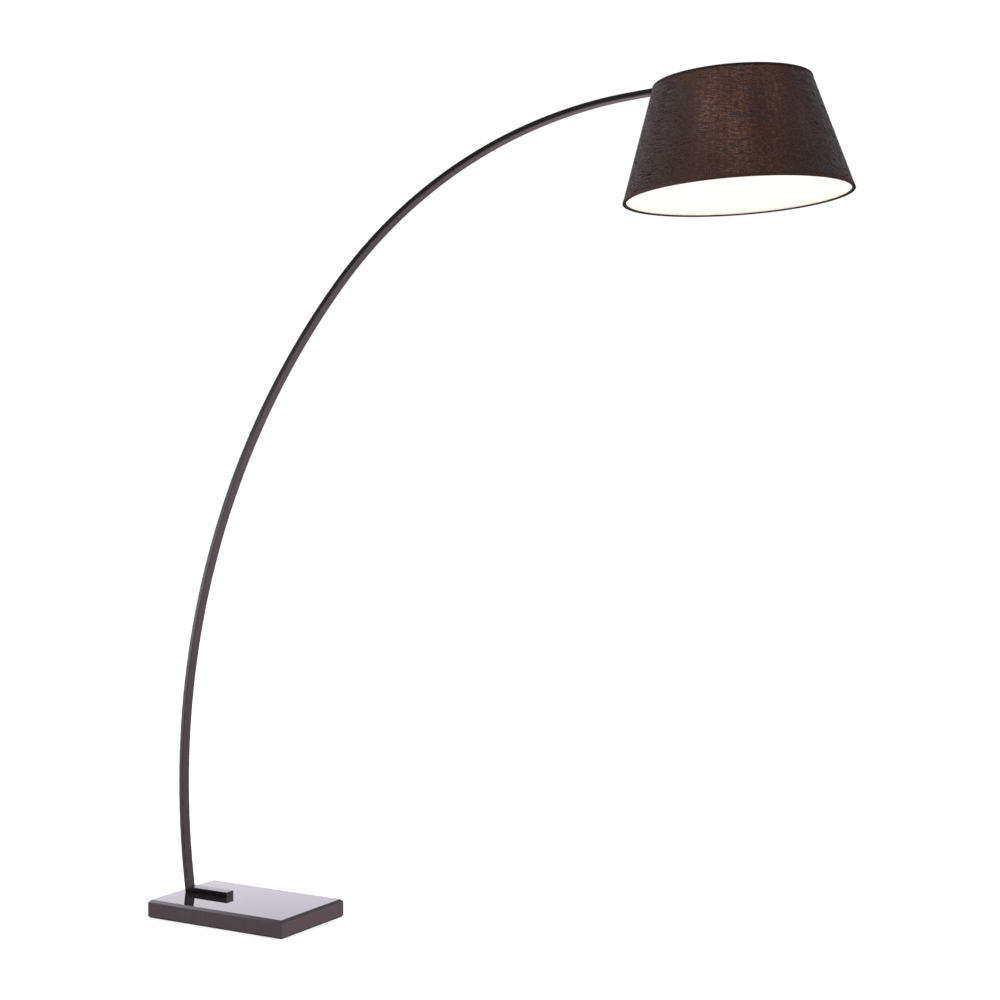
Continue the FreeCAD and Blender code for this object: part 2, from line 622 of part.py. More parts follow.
def make_supply_lead():
    """The lead inside the tube: it follows the arc and turns down into the nipple."""

    def bend_between(centre, radius, first, last):
        angles = (first, (first + last) / 2, last)
        return Part.Arc(*(centre + outward(angle) * radius for angle in angles)).toShape()

    first = math.degrees(value("inlet_height + lead_start") / LOWER_RADIUS) - value("lean")
    turn_radius = value("lead_bend")
    turn_start = LAMP_POINT - along(ARM_ANGLE) * turn_radius
    down = -outward(ARM_ANGLE)
    turn_centre = turn_start + down * turn_radius
    halfway = turn_centre + (along(ARM_ANGLE) - down) * (turn_radius / math.sqrt(2))
    turn_end = turn_centre + along(ARM_ANGLE) * turn_radius
    end = LAMP_POINT + down * value("core_start")
    path = Part.Wire([
        bend_between(LOWER_CENTRE, LOWER_RADIUS, first, value("blend_angle")),
        bend_between(UPPER_CENTRE, UPPER_RADIUS, value("blend_angle"), ARM_ANGLE),
        Part.LineSegment(ARM_START, turn_start).toShape(),
        Part.Arc(turn_start, halfway, turn_end).toShape(),
        Part.LineSegment(turn_end, end).toShape(),
    ])
    start = LOWER_CENTRE + outward(first) * LOWER_RADIUS
    section = Part.Wire(Part.Circle(start, along(first), value("lead_radius")).toShape())
    lead = doc.addObject("Part::Feature", "lead_in_tube")
    lead.Shape = path.makePipeShell([section], True, False)
    expected = path.Length * math.pi * value("lead_radius") ** 2
    if abs(lead.Shape.Volume / expected - 1) > VOLUME_SLACK:
        raise RuntimeError("the lead's volume isn't its section times its length")
    keep("supply_lead", lead)


# --- lampholder ----------------------------------------------------------------------------


def make_head_mounting():
    boss_start = "tube_depth / 2"
    keep("head_boss", turned("boss", on_lamp_axis("boss_end"), [
        ("nipple_radius + thread_play", "0"),
        ("boss_radius", "0"),
        ("boss_radius", f"boss_end - {boss_start}"),
        ("boss_bore", f"boss_end - {boss_start}"),
        ("boss_bore", "boss_floor"),
        ("nipple_radius + thread_play", "boss_floor"),
    ]))
    keep("nipple", ring(
        "nipple", on_lamp_axis("nipple_end"), "nipple_radius", "nipple_bore", "nipple_end - nipple_top",
    ))
    keep("lock_washer", ring(
        "lock_washer", on_lamp_axis("lock_washer_end"),
        "lock_washer_radius", "nipple_radius + thread_play", "lock_washer_end - boss_end",
    ))
    place, high = on_lamp_axis("lock_nut_end"), "lock_nut_end - lock_washer_end"
    hexagon = primitive("Prism", "lock_nut_hexagon", place, Circumradius="lock_nut_across", Height=high)
    hole = primitive("Cylinder", "lock_nut_hole", place, Radius="nipple_radius + thread_play", Height=high)
    keep("lock_nut", cut("lock_nut_tapped", hexagon, [hole]))


def make_socket_cap():
    rim = on_lamp_axis("dome_end")
    outer = primitive("Sphere", "dome_outside", rim, Radius="dome_radius", Angle1="0")
    inner = primitive("Sphere", "dome_inside", rim, Radius="dome_radius - dome_wall", Angle1="0")
    neck_place = on_lamp_axis("dome_neck_end")
    neck_high = "dome_neck_end - lock_nut_end"
    neck = primitive("Cylinder", "dome_neck_outside", neck_place, Radius="dome_neck", Height=neck_high)
    thread = primitive(
        "Cylinder", "dome_thread", neck_place, Radius="nipple_radius + thread_play", Height=neck_high,
    )
    hollow = cut("dome_shell", outer, [inner])
    keep("socket_cap", cut("dome_tapped", fuse("dome_with_neck", [hollow, neck]), [thread]))


def spindle_hole(name):
    """A radial hole for the switch spindle."""
    start = radial_place("spindle_start - spindle_clear")
    return primitive("Cylinder", name, start, Radius="spindle_hole", Height="dome_radius")


def radial_place(reach):
    """Z pointing along the arm, away from the lamp's axis, at the switch spindle's drop."""
    level = on_lamp_axis("spindle_drop")
    return level * Placement(Vector(value(reach), 0, 0), Rotation(Vector(0, 1, 0), 90))


def make_socket():
    bore = "dome_radius - body_wall"
    body = turned("socket", on_lamp_axis("socket_end"), [
        (bore, "0"),
        ("skirt_radius", "0"),
        ("skirt_radius", "socket_end - shoulder_end"),
        ("shoulder_radius", "socket_end - shoulder_end"),
        ("shoulder_radius", "socket_end - shoulder_start"),
        ("dome_radius", "socket_end - shoulder_start"),
        ("dome_radius", "socket_end - dome_end"),
        (bore, "socket_end - dome_end"),
    ])
    keep("socket_body", cut("socket_drilled", body, [spindle_hole("body_spindle_hole")]))
    lower_face, high = on_lamp_axis("core_end"), "core_end - core_start"
    core = primitive("Cylinder", "core_disc", lower_face, Radius="core_radius", Height=high)
    keep("socket_core", cut("core_drilled", core, [spindle_hole("core_spindle_hole")]))
    keep("screw_shell", ring(
        "shell", on_lamp_axis("shell_end"), "shell_radius", "shell_bore", "shell_end - core_end",
    ))
    keep("centre_contact", primitive(
        "Cylinder", "contact_leaf", on_lamp_axis("core_end + contact_thick"),
        Radius="contact_radius", Height="contact_thick",
    ))


def make_switch():
    keep("switch_spindle", primitive(
        "Cylinder", "spindle_rod", radial_place("spindle_start"),
        Radius="spindle_radius", Height="knob_start + knob_recess - spindle_start",
    ))
    keep("switch_knob", turned("knob", radial_place("knob_start"), [
        ("spindle_radius", "0"),
        ("knob_radius - knob_taper", "0"),
        ("knob_radius", "knob_taper_long"),
        ("knob_radius", "knob_end - knob_start - knob_bevel"),
        ("knob_radius - knob_bevel", "knob_end - knob_start"),
        ("0", "knob_end - knob_start"),
        ("0", "knob_recess"),
        ("spindle_radius", "knob_recess"),
    ]))


def make_shade_ring_nut():
    place = on_lamp_axis("ring_start + ring_high")
    blank = ring("ring_nut", place, "ring_radius", "ring_bore", "ring_high")
    notches = []
    for notch in range(RING_NOTCHES):
        turned_place = about_lamp_axis(place, notch * 360 / RING_NOTCHES)
        at_edge = turned_place * Placement(Vector(value("ring_radius + ring_notch / 2"), 0, 0), Rotation())
        groove = primitive("Cylinder", f"notch{notch}", at_edge, Radius="ring_notch", Height="ring_high")
        notches.append(groove)
    keep("shade_ring_nut", cut("ring_nut_notched", blank, notches))


# --- shade ---------------------------------------------------------------------------------

SHADE_START = "tube_depth / 2 + rim_gap + trim_thick"
SLOPE = "(shade_bottom - shade_top) / shade_height"


def make_shade_skins():
    bottom = on_lamp_axis(f"{SHADE_START} + shade_height")
    inner = "fabric_thick + liner_gap"
    liner = f"{inner} + liner_thick"
    keep("shade_fabric", turned("fabric", bottom, [
        ("shade_bottom - fabric_thick", "0"),
        ("shade_bottom", "0"),
        ("shade_top", "shade_height"),
        ("shade_top - fabric_thick", "shade_height"),
    ]))
    keep("shade_liner", turned("liner", bottom, [
        (f"shade_bottom - ({liner})", "0"),
        (f"shade_bottom - ({inner})", "0"),
        (f"shade_top - ({inner})", "shade_height"),
        (f"shade_top - ({liner})", "shade_height"),
    ]))


def make_shade_trims():
    bottom = on_lamp_axis(f"{SHADE_START} + shade_height")
    taper = f"{SLOPE} * trim_high"
    turned_in = f"{SLOPE} * trim_turned"
    keep("bottom_trim", turned("bottom_binding", bottom, [
        ("shade_bottom", "0"),
        (f"shade_bottom - {taper}", "trim_high"),
        (f"shade_bottom - {taper} + trim_thick", "trim_high"),
        ("shade_bottom + trim_thick", "0"),
        ("shade_bottom + trim_thick / 2", "-trim_thick"),
        ("shade_bottom - trim_wide", "-trim_thick"),
        (f"shade_bottom - trim_wide - {turned_in}", "trim_turned"),
        (f"shade_bottom - trim_wide - {turned_in} + trim_thick", "trim_turned"),
        ("shade_bottom - trim_wide + trim_thick", "0"),
    ]))
    top = on_lamp_axis(SHADE_START)
    keep("top_trim", turned("top_binding", top, [
        ("shade_top", "0"),
        (f"shade_top + {taper}", "-trim_high"),
        (f"shade_top + {taper} + trim_thick", "-trim_high"),
        ("shade_top + trim_thick", "0"),
        ("shade_top + trim_thick / 2", "trim_thick"),
        ("shade_top - trim_wide", "trim_thick"),
        ("shade_top - trim_wide", "0"),
    ]))


def make_shade_wires():
    keep("bottom_ring", primitive(
        "Torus", "bottom_wire", on_lamp_axis(f"{SHADE_START} + shade_height - wire_lift"),
        Radius1=f"shade_bottom - {SLOPE} * wire_lift - wire_inset", Radius2="wire_radius",
    ))
    keep("top_ring", primitive(
        "Torus", "top_wire", on_lamp_axis(f"{SHADE_START} + wire_lift"),
        Radius1=f"shade_top + {SLOPE} * wire_lift - wire_inset", Radius2="wire_radius",
    ))


def fitter_arm(name, degrees):
    """A bent rod from the fitter ring out and up to the top ring wire."""
    middle = value("fitter_start + fitter_thick / 2")
    rise = middle - value(f"{SHADE_START} + wire_lift")
    inner = Vector(value("fitter_arm_start"), 0, 0)
    knee = Vector(value("fitter_arm_knee"), 0, 0)
    outer = Vector(value(f"shade_top + {SLOPE} * wire_lift - wire_inset"), 0, rise)
    slope = (outer - knee).normalize()
    turn = math.atan2(slope.z, slope.x)
    radius = value("fitter_arm_bend")
    tangent = radius * math.tan(turn / 2)
    bend_start = knee - Vector(tangent, 0, 0)
    bend_end = knee + slope * tangent
    hub = bend_start + Vector(0, 0, radius)
    halfway = hub + Vector(math.sin(turn / 2), 0, -math.cos(turn / 2)) * radius
    path = Part.Wire([
        Part.LineSegment(inner, bend_start).toShape(),
        Part.Arc(bend_start, halfway, bend_end).toShape(),
        Part.LineSegment(bend_end, outer).toShape(),
    ])
    section = Part.Wire(Part.Circle(inner, Vector(1, 0, 0), value("wire_radius")).toShape())
    arm = doc.addObject("Part::Feature", name)
    arm.Shape = path.makePipeShell([section], True, False)
    arm.Placement = about_lamp_axis(on_lamp_axis("fitter_start + fitter_thick / 2"), degrees)
    return arm


def make_shade_spider():
    lower_face = on_lamp_axis("fitter_start + fitter_thick")
    hub = ring("fitter", lower_face, "fitter_radius", "fitter_bore", "fitter_thick")
    arms = [fitter_arm(f"fitter_arm{i}", i * 360 / FITTER_ARMS) for i in range(FITTER_ARMS)]
    welded_to = doc.addObject("Part::Feature", "top_wire_outline")
    doc.recompute()
    welded_to.Shape = parts["top_ring"].Shape
    keep("shade_spider", cut("spider_fitted", fuse("spider_welded", [hub] + arms), [welded_to]))


# --- bulb ----------------------------------------------------------------------------------


def make_bulb():
    cap_start = "bulb_start + button_high + insulator_high"
    keep("bulb_contact", primitive(
        "Cylinder", "contact_button", on_lamp_axis("bulb_start + button_high"),
        Radius="button_radius", Height="button_high",
    ))
    keep("bulb_insulator", primitive(
        "Cone", "insulator_cone", on_lamp_axis(cap_start),
        Radius1="insulator_radius", Radius2="button_radius", Height="insulator_high",
    ))
    cap_high = f"(housing_start - ({cap_start}))"
    thread = [("root_radius", "cap_skin")]
    for crest in range(THREAD_CRESTS):
        thread.append(("crest_radius", f"cap_skin + thread_pitch * {crest + 0.5}"))
        thread.append(("root_radius", f"cap_skin + thread_pitch * {crest + 1}"))
    keep("bulb_cap", turned("bulb_cap", on_lamp_axis("housing_start"), [
        ("cap_bore", "0"),
        ("root_radius", "0"),
        *thread,
        ("insulator_radius", cap_high),
        ("0", cap_high),
        ("0", f"{cap_high} - cap_skin"),
        ("cap_bore", f"{cap_high} - cap_skin - cap_cone"),
    ]))
    open_edge = "globe_drop - globe_cut"
    edge_radius = "sqrt(globe_radius * globe_radius - globe_cut * globe_cut)"
    high = f"({open_edge} - housing_start)"
    keep("bulb_housing", turned("housing", on_lamp_axis(open_edge), [
        (f"{edge_radius} - housing_wall", "0"),
        (edge_radius, "0"),
        ("housing_radius", high),
        ("0", high),
        ("0", f"{high} - housing_wall"),
        ("housing_radius - housing_wall", f"{high} - housing_wall"),
    ]))
    centre = on_lamp_axis("globe_drop")
    outer = primitive("Sphere", "globe_outside", centre, Radius="globe_radius")
    inner = primitive("Sphere", "globe_inside", centre, Radius="globe_radius - globe_wall")
    side = value("globe_radius")
    above = primitive(
        "Box", "globe_opening", on_lamp_axis(open_edge) * Placement(Vector(-side, -side, 0), Rotation()),
        Length="2 * globe_radius", Width="2 * globe_radius", Height="2 * globe_radius",
    )
    keep("bulb_globe", cut("globe_shell", outer, [inner, above]))


# --- build, check and write ----------------------------------------------------------------

make_base_slab()
make_base_pad()
make_base_bolts()
make_foot_bar()
make_arc_sections()
make_joint_sleeves()
make_cord_grommet()
make_arm_end_cap()
make_supply_lead()
make_head_mounting()
make_socket_cap()
make_socket()
make_switch()
make_shade_ring_nut()
make_shade_skins()
make_shade_trims()
make_shade_wires()
make_shade_spider()
make_bulb()
doc.recompute()

failed = [obj.Name for obj in doc.Objects if {"Invalid", "Error"} & set(obj.State)]
failed += [label for label, obj in parts.items() if obj.Shape.isNull() or not obj.Shape.isValid()]
if failed:
    raise RuntimeError(f"these objects failed: {failed}")

os.makedirs("parts", exist_ok=True)
for label, obj in parts.items():
    obj.Shape.exportStep(f"parts/{label}.step")
    print(f"{label:16} {len(obj.Shape.Solids)} solid(s) {obj.Shape.Volume / 1000:10.3f} cm3")
print("lamp's axis meets the arm at", [round(v, 3) for v in LAMP_POINT])
print("arm ends at", [round(v, 3) for v in ARM_END])
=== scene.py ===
import json
import math

import bmesh
import bpy
import numpy as np
from mathutils import Matrix, Vector


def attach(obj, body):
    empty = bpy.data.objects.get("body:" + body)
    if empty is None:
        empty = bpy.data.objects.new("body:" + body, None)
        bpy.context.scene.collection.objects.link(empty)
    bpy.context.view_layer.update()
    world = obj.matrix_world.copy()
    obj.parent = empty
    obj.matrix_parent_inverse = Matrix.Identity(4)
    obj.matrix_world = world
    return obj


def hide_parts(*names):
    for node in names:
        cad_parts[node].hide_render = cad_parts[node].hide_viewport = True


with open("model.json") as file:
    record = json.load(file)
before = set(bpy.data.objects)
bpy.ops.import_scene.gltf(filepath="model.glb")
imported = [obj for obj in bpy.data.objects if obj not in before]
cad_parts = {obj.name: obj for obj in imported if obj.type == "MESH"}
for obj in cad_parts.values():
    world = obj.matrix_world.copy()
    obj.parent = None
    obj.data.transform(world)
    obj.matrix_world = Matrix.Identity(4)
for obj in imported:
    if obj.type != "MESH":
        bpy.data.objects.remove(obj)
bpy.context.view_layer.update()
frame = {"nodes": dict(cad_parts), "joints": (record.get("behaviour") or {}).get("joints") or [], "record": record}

# Arc floor lamp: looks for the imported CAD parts, in metres, in the CAD's own frame.

NODES = frame["nodes"]
JOINTS = {joint["name"]: joint for joint in frame["joints"]}

# --- the lamp's axis and the sizes of the shade and bulb, from the frame -------------------------

LAMP_POINT = Vector(JOINTS["shade_turn"]["pos_m"])
LAMP_UP = Vector(JOINTS["shade_turn"]["axis"]).normalized()
ARM_WAY = Vector(JOINTS["switch_turn"]["axis"]).normalized()
ACROSS = LAMP_UP.cross(ARM_WAY)
LAMP_FRAME = Matrix((ARM_WAY, ACROSS, LAMP_UP)).transposed().to_4x4()
LAMP_FRAME.translation = LAMP_POINT


def lamp_points(node):
    """A CAD node's points as (x, y, z) in the lamp's frame: z up the axis, from the arm's centre line."""
    back = np.array(LAMP_FRAME.inverted())
    mesh = NODES[node].data
    points = np.empty(len(mesh.vertices) * 3)
    mesh.vertices.foreach_get("co", points)
    return points.reshape(-1, 3) @ back[:3, :3].T + back[:3, 3]


fabric_points = lamp_points("shade_fabric")
FABRIC_TOP = fabric_points[:, 2].max()
FABRIC_BOTTOM = fabric_points[:, 2].min()
fabric_radii = np.hypot(fabric_points[:, 0], fabric_points[:, 1])
BOTTOM_RADIUS = fabric_radii.max()
TOP_RADIUS = fabric_radii[fabric_points[:, 2] > FABRIC_TOP - 0.001].max()
CLOTH_THICK = 0.0009
SLANT = math.hypot(FABRIC_TOP - FABRIC_BOTTOM, BOTTOM_RADIUS - TOP_RADIUS)
CONE_SINE = (BOTTOM_RADIUS - TOP_RADIUS) / SLANT
GLOBE_LOWEST = lamp_points("bulb_globe")[:, 2].min()
# Centre of the liner's painted glow, which stands in for the bulb's light on it.
PAINTED_GLOW_CENTRE = LAMP_FRAME @ Vector((0, 0, GLOBE_LOWEST + 0.042))
LIGHT_PLACE = LAMP_FRAME @ Vector((0, 0, GLOBE_LOWEST - 0.004))


# --- building nodes ------------------------------------------------------------------------------


class Look:
    """The node tree of a material or a world, built with short calls."""

    def __init__(self, owner, output="OutputMaterial"):
        owner.use_nodes = True
        self.owner = owner
        self.tree = owner.node_tree
        self.tree.nodes.clear()
        self.output = self.add(output)

    def add(self, kind, inputs=None, **settings):
        node = self.tree.nodes.new(f"ShaderNode{kind}")
        for name, value in settings.items():
            setattr(node, name, value)
        for name, value in (inputs or {}).items():
            self.feed(node.inputs[name], value)
        return node

    def feed(self, socket, value):
        if isinstance(value, bpy.types.NodeSocket):
            self.tree.links.new(value, socket)
        elif isinstance(value, bpy.types.Node):
            self.tree.links.new(value.outputs[0], socket)
        else:
            socket.default_value = value

    def principled(self, **inputs):
        named = {name.replace("_", " "): value for name, value in inputs.items()}
        shader = self.add("BsdfPrincipled", named)
        self.feed(self.output.inputs["Surface"], shader.outputs[0])
        return shader

    def here(self, stretch=(1, 1, 1)):
        """Object coordinates, in metres, stretched."""
        place = self.add("TexCoord").outputs["Object"]
        return self.add("Mapping", {"Vector": place, "Scale": stretch}).outputs[0]

    def flat(self, stretch=(1, 1, 1)):
        """The piece's own flat pattern, in metres, stretched."""
        place = self.add("UVMap", uv_map="flat").outputs[0]
        return self.add("Mapping", {"Vector": place, "Scale": stretch}).outputs[0]

    def noise(self, place, scale, detail=2.0, rough=0.5):
        inputs = {"Vector": place, "Scale": scale, "Detail": detail, "Roughness": rough}
        return self.add("TexNoise", inputs).outputs["Fac"]

    def maths(self, operation, a, b=0.0, clamp=False):
        node = self.add("Math", operation=operation, use_clamp=clamp)
        self.feed(node.inputs[0], a)
        self.feed(node.inputs[1], b)
        return node.outputs[0]

    def ramp(self, value, low, high, to_low=0.0, to_high=1.0, smooth=False):
        kind = "SMOOTHSTEP" if smooth else "LINEAR"
        inputs = {"Value": value, "From Min": low, "From Max": high, "To Min": to_low, "To Max": to_high}
        return self.add("MapRange", inputs, interpolation_type=kind).outputs[0]

    def mix(self, share, a, b):
        node = self.add("Mix", data_type="RGBA")
        self.feed(node.inputs[0], share)
        self.feed(node.inputs[6], a)
        self.feed(node.inputs[7], b)
        return node.outputs[2]

    def bump(self, height, distance, strength=1.0):
        inputs = {"Height": height, "Distance": distance, "Strength": strength}
        return self.add("Bump", inputs).outputs[0]


def colour(red, green, blue):
    return (red, green, blue, 1.0)


# --- materials -----------------------------------------------------------------------------------


def powder_coat():
    """Satin black powder coat: fine orange peel and a few paler specks."""
    look = Look(bpy.data.materials.new("black_powder_coat"))
    place = look.here()
    peel = look.noise(place, 900, 3.0, 0.6)
    cloud = look.noise(place, 14, 3.0)
    base = look.mix(cloud, colour(0.0075, 0.0060, 0.0060), colour(0.0095, 0.0076, 0.0076))
    fleck = look.ramp(look.noise(place, 2600, 1.0), 0.72, 0.8)
    base = look.mix(look.maths("MULTIPLY", fleck, 0.4), base, colour(0.05, 0.044, 0.042))
    rough = look.ramp(look.noise(place, 30, 4.0), 0.3, 0.7, 0.17, 0.22)
    look.principled(Base_Color=base, Roughness=rough, IOR=1.6, Normal=look.bump(peel, 0.000012, 0.5))
    return look.owner


def polished_stone():
    """Black stone: mirror-polished on top and the chamfer, honed with faint saw lines on the sides."""
    look = Look(bpy.data.materials.new("polished_stone"))
    place = look.here()
    upward = look.add("SeparateXYZ", {0: look.add("NewGeometry").outputs["Normal"]}).outputs[2]
    polish = look.ramp(upward, 0.2, 0.5, smooth=True)
    grain = look.noise(place, 420, 4.0, 0.7)
    cloud = look.noise(place, 9, 5.0, 0.6)
    crystal = look.add("TexVoronoi", {"Vector": place, "Scale": 700.0}).outputs["Distance"]
    dark = look.mix(cloud, colour(0.013, 0.011, 0.0125), colour(0.022, 0.019, 0.021))
    dark = look.mix(look.ramp(crystal, 0.0, 0.25, 0.35, 0.0), dark, colour(0.07, 0.065, 0.072))
    honed = look.mix(grain, colour(0.021, 0.0132, 0.0148), colour(0.041, 0.0268, 0.030))
    saw = look.noise(look.here((340, 340, 8)), 1.0, 2.0)
    honed = look.mix(look.ramp(saw, 0.45, 0.75, 0.0, 0.35), honed, colour(0.066, 0.050, 0.053))
    rough = look.mix(polish, colour(0.5, 0.5, 0.5), colour(0.035, 0.035, 0.035))
    height = look.maths("MULTIPLY", look.maths("SUBTRACT", 1.0, polish), grain)
    look.principled(
        Base_Color=look.mix(polish, honed, dark), Roughness=rough, IOR=1.6,
        Normal=look.bump(height, 0.00008, 0.7),
    )
    return look.owner


WARP_PITCH = 0.0011
WEFT_PITCH = 0.0010
THREAD_WANDER = 0.0016


def woven(look):
    """Linen on the flat pattern: thread height, gaps, thick and thin weft, thick and thin warp."""
    flat = look.flat()
    wobble = look.noise(flat, 35, 2.0)
    wander = look.maths("MULTIPLY", wobble, THREAD_WANDER)
    parts = look.add("SeparateXYZ", {0: flat})
    across = look.maths("ADD", parts.outputs[0], wander)
    up = look.maths("ADD", parts.outputs[1], wander)
    turn_across = look.maths("MULTIPLY", across, math.pi / WARP_PITCH)
    turn_up = look.maths("MULTIPLY", up, math.pi / WEFT_PITCH)
    warp = look.maths("ABSOLUTE", look.maths("SINE", turn_across))
    weft = look.maths("ABSOLUTE", look.maths("SINE", turn_up))
    check = look.maths("MULTIPLY", look.maths("SINE", look.maths("MULTIPLY", turn_across, 0.5)),
                       look.maths("SINE", look.maths("MULTIPLY", turn_up, 0.5)))
    over = look.ramp(check, -0.3, 0.3)
    threads = look.maths("MAXIMUM", look.maths("MULTIPLY", warp, over),
                         look.maths("MULTIPLY", weft, look.maths("SUBTRACT", 1.0, over)))
    gaps = look.maths("MULTIPLY", look.maths("SUBTRACT", 1.25, warp), look.maths("SUBTRACT", 1.25, weft))
    weft_slubs = look.noise(look.flat((80, 520, 1)), 1.0, 1.5, 0.5)
    warp_slubs = look.noise(look.flat((480, 70, 1)), 1.0, 1.5, 0.5)
    return threads, gaps, weft_slubs, warp_slubs


CLOTH_TINT = colour(0.55, 0.46, 0.41)
CLOTH_DENSITY = 6400.0
CLOTH_OPENNESS = 0.86


def thick_cloth(look):
    """The cloth dims what shines through it, and more where the light crosses it aslant."""
    inside = look.add("VolumeAbsorption", {"Color": CLOTH_TINT, "Density": CLOTH_DENSITY})
    look.feed(look.output.inputs["Volume"], inside.outputs[0])


def black_linen():
    """Black slubby linen that lets a little warm lamp light through between its threads."""
    look = Look(bpy.data.materials.new("black_linen"))
    threads, gaps, weft_slubs, warp_slubs = woven(look)
    thick_weft = look.ramp(weft_slubs, 0.25, 0.75)
    tone = look.mix(thick_weft, colour(0.0188, 0.0104, 0.0090), colour(0.0315, 0.0174, 0.0152))
    tone = look.mix(look.ramp(warp_slubs, 0.4, 0.8, 0.0, 0.5), tone, colour(0.0378, 0.0223, 0.0203))
    height = look.maths("ADD", threads, look.maths("MULTIPLY", weft_slubs, 0.8))
    cloth = look.add("BsdfPrincipled", {
        "Base Color": tone, "Roughness": 0.85, "Specular IOR Level": 0.2, "Sheen Weight": 0.12,
        "Sheen Roughness": 0.4, "Sheen Tint": colour(0.90, 0.95, 1.0),
        "Normal": look.bump(height, 0.0003, 0.6),
    })
    gauze = look.add("BsdfTransparent", {"Color": colour(1.0, 1.0, 1.0)})
    long_slubs = look.noise(look.flat((30, 520, 1)), 1.0, 1.5, 0.5)
    pinholes = look.ramp(weft_slubs, 0.38, 0.62, 0.0, 2.0)
    streaks = look.maths("MULTIPLY", look.ramp(long_slubs, 0.38, 0.62, 0.1, 1.9),
                         look.ramp(warp_slubs, 0.35, 0.65, 0.4, 1.6))
    thin = look.maths("MULTIPLY", look.maths("MULTIPLY", pinholes, streaks), gaps)
    open_share = look.maths("MULTIPLY", thin, CLOTH_OPENNESS, clamp=True)
    both = look.add("MixShader", {0: open_share, 1: cloth.outputs[0], 2: gauze.outputs[0]})
    look.feed(look.output.inputs["Surface"], both.outputs[0])
    thick_cloth(look)
    return look.owner


def fabric_back():
    """The cloth's glued side: clear, so that the cloth's own thickness does the dimming."""
    look = Look(bpy.data.materials.new("black_linen_back"))
    gauze = look.add("BsdfTransparent", {"Color": colour(1.0, 1.0, 1.0)})
    look.feed(look.output.inputs["Surface"], gauze.outputs[0])
    thick_cloth(look)
    return look.owner


# Strengths of the liner's painted glow: emission standing in for the bulb's light, towards the cloth and on the
# inward side.
PAINTED_GLOW_TO_CLOTH = 0.19
PAINTED_GLOW_INSIDE = 0.06


def liner_with_painted_glow():
    """White film with a painted glow standing in for the bulb's light: emission brightest on the side towards the
    cloth and near the bulb.
    """
    look = Look(bpy.data.materials.new("white_liner"))
    here = look.add("TexCoord")
    place, normal = here.outputs["Object"], here.outputs["Normal"]
    away = look.add("VectorMath", {0: place, 1: PAINTED_GLOW_CENTRE}, operation="DISTANCE").outputs["Value"]
    outward = look.add("VectorMath", {0: place, 1: LAMP_POINT}, operation="SUBTRACT").outputs[0]
    facing = look.add("VectorMath", {0: normal, 1: outward}, operation="DOT_PRODUCT").outputs["Value"]
    towards_cloth = look.maths("GREATER_THAN", facing, 0.0)
    # Painted glow: emission that falls off from near the bulb, standing in for its light on the film.
    painted_glow_fall_off = look.maths("DIVIDE", PAINTED_GLOW_TO_CLOTH, look.maths("MULTIPLY", away, away))
    painted_glow = look.add("Mix", {0: towards_cloth, 2: PAINTED_GLOW_INSIDE, 3: painted_glow_fall_off}, data_type="FLOAT").outputs[0]
    film = look.noise(look.here(), 60, 3.0)
    painted_glow = look.maths("MULTIPLY", painted_glow, look.ramp(film, 0.3, 0.7, 0.96, 1.04))
    look.principled(
        Base_Color=look.mix(film, colour(0.86, 0.84, 0.79), colour(0.90, 0.88, 0.83)), Roughness=0.6,
        Emission_Color=colour(1.0, 0.93, 0.80), Emission_Strength=painted_glow,
    )
    return look.owner


def binding_tape(name, side_low_tone_or_glow, side_high_tone_or_glow):
    """Black cotton tape with fine ribs across it: its folded edge is darker than its side, whose given colours on
    the lower tape are a painted glow of the lamp's light.
    """
    look = Look(bpy.data.materials.new(name))
    ribs = look.noise(look.here((900, 900, 900)), 1.0, 2.0)
    normal = look.add("TexCoord").outputs["Normal"]
    along = look.add("VectorMath", {0: normal, 1: LAMP_UP}, operation="DOT_PRODUCT").outputs["Value"]
    folded = look.ramp(look.maths("ABSOLUTE", along), 0.4, 0.8)
    edge = look.mix(ribs, colour(0.010, 0.0055, 0.0045), colour(0.019, 0.011, 0.0095))
    # The sides' colours: the tape's own black on the upper tape, a painted glow of the lamp's light on the lower.
    side = look.mix(ribs, side_low_tone_or_glow, side_high_tone_or_glow)
    look.principled(
        Base_Color=look.mix(folded, side, edge), Roughness=0.8, Specular_IOR_Level=0.1,
        Normal=look.bump(ribs, 0.0002, 0.8),
    )
    return look.owner


def metal(name, tone, worn, low, high):
    """A bare metal with fine drawn lines and a little tarnish."""
    look = Look(bpy.data.materials.new(name))
    lines = look.noise(look.here((400, 400, 30)), 1.0, 3.0)
    tarnish = look.noise(look.here(), 90, 4.0)
    look.principled(
        Base_Color=look.mix(look.ramp(tarnish, 0.35, 0.75), tone, worn), Metallic=1.0,
        Roughness=look.ramp(lines, 0.3, 0.7, low, high), Normal=look.bump(lines, 0.00002, 0.6),
    )
    return look.owner


def moulded(name, tone, paler, roughness, grain=1800.0, specular=0.5):
    """Moulded plastic, rubber or foam: a fine spark-eroded grain."""
    look = Look(bpy.data.materials.new(name))
    fine = look.noise(look.here(), grain, 2.0)
    cloud = look.noise(look.here(), 25, 3.0)
    look.principled(
        Base_Color=look.mix(cloud, tone, paler), Specular_IOR_Level=specular,
        Roughness=look.ramp(fine, 0.3, 0.7, roughness - 0.05, roughness + 0.05),
        Normal=look.bump(fine, 0.00004, 0.6),
    )
    return look.owner


def opal_globe():
    """Opal glass, lit from inside a little unevenly."""
    look = Look(bpy.data.materials.new("opal_glass"))
    cloud = look.noise(look.here(), 40, 2.0)
    look.principled(
        Base_Color=colour(0.95, 0.93, 0.88), Roughness=0.35,
        Emission_Color=colour(1.0, 0.9, 0.72), Emission_Strength=look.ramp(cloud, 0.3, 0.7, 5.5, 6.0),
    )
    return look.owner


def paint(name, material):
    """This CAD node's only material."""
    materials = NODES[name].data.materials
    materials.clear()
    materials.append(material)


